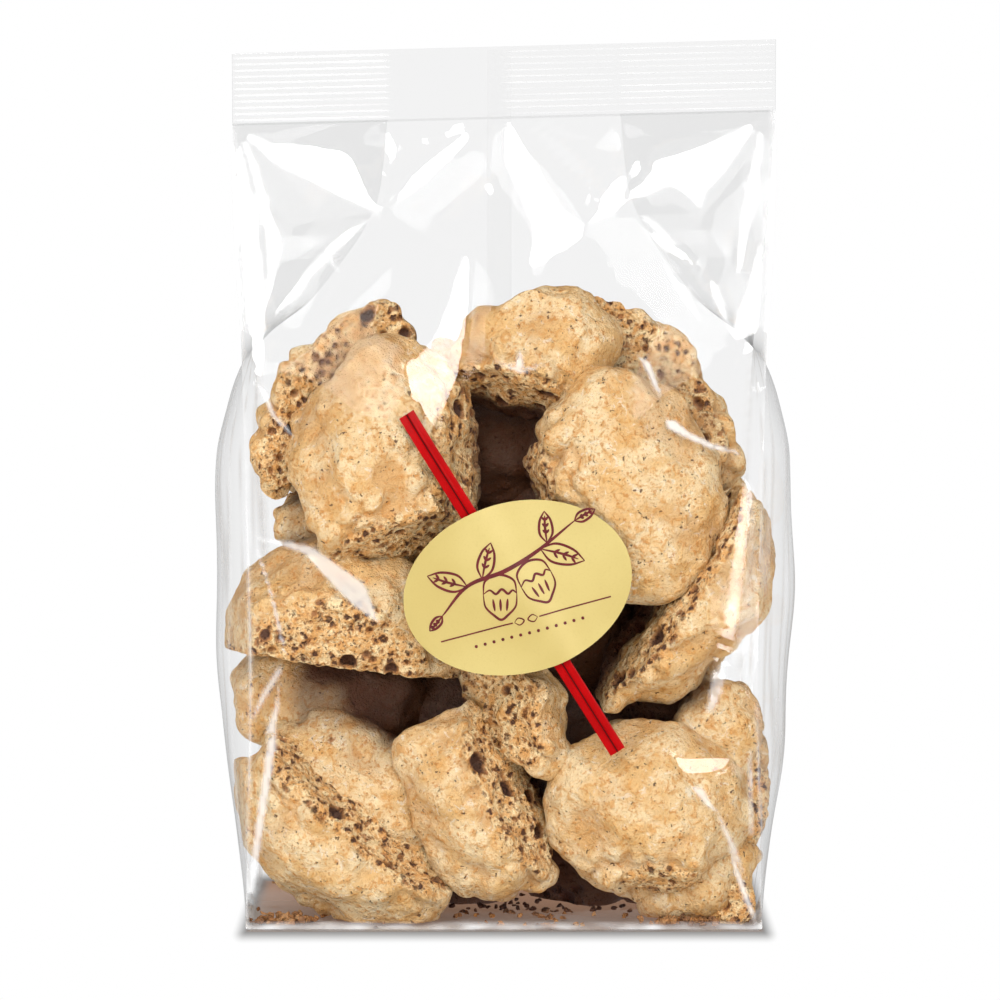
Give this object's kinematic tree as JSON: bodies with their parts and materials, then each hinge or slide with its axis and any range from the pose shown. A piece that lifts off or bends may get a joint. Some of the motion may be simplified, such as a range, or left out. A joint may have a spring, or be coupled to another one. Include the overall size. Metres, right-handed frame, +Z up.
{
  "type": "clear bag of hazelnut meringue cookies",
  "caption": "Clear side-gusseted film bag standing upright, filled with broken nut meringue cookies, with a ribbed top seal, a plain oval label and a red twist tie on its front.",
  "frame": {"origin": "middle of the bag's box, on the surface it stands on", "axes": "+Z up the standing bag, +X to the right across its front, and the front with the label faces -Y"},
  "size_m": [0.1508, 0.084, 0.2258],
  "materials": {
    "film": "clear glossy film, creased",
    "meringue": "matte baked crust, golden, with brown porous breaks",
    "tie": "red plastic strip over a wire",
    "label": "satin gold paper",
    "label_ink": "dark red print"
  },
  "bodies": {
    "root": {"bag": "film", "twist_tie": "tie", "label": "label"}
  },
  "joints": []
}
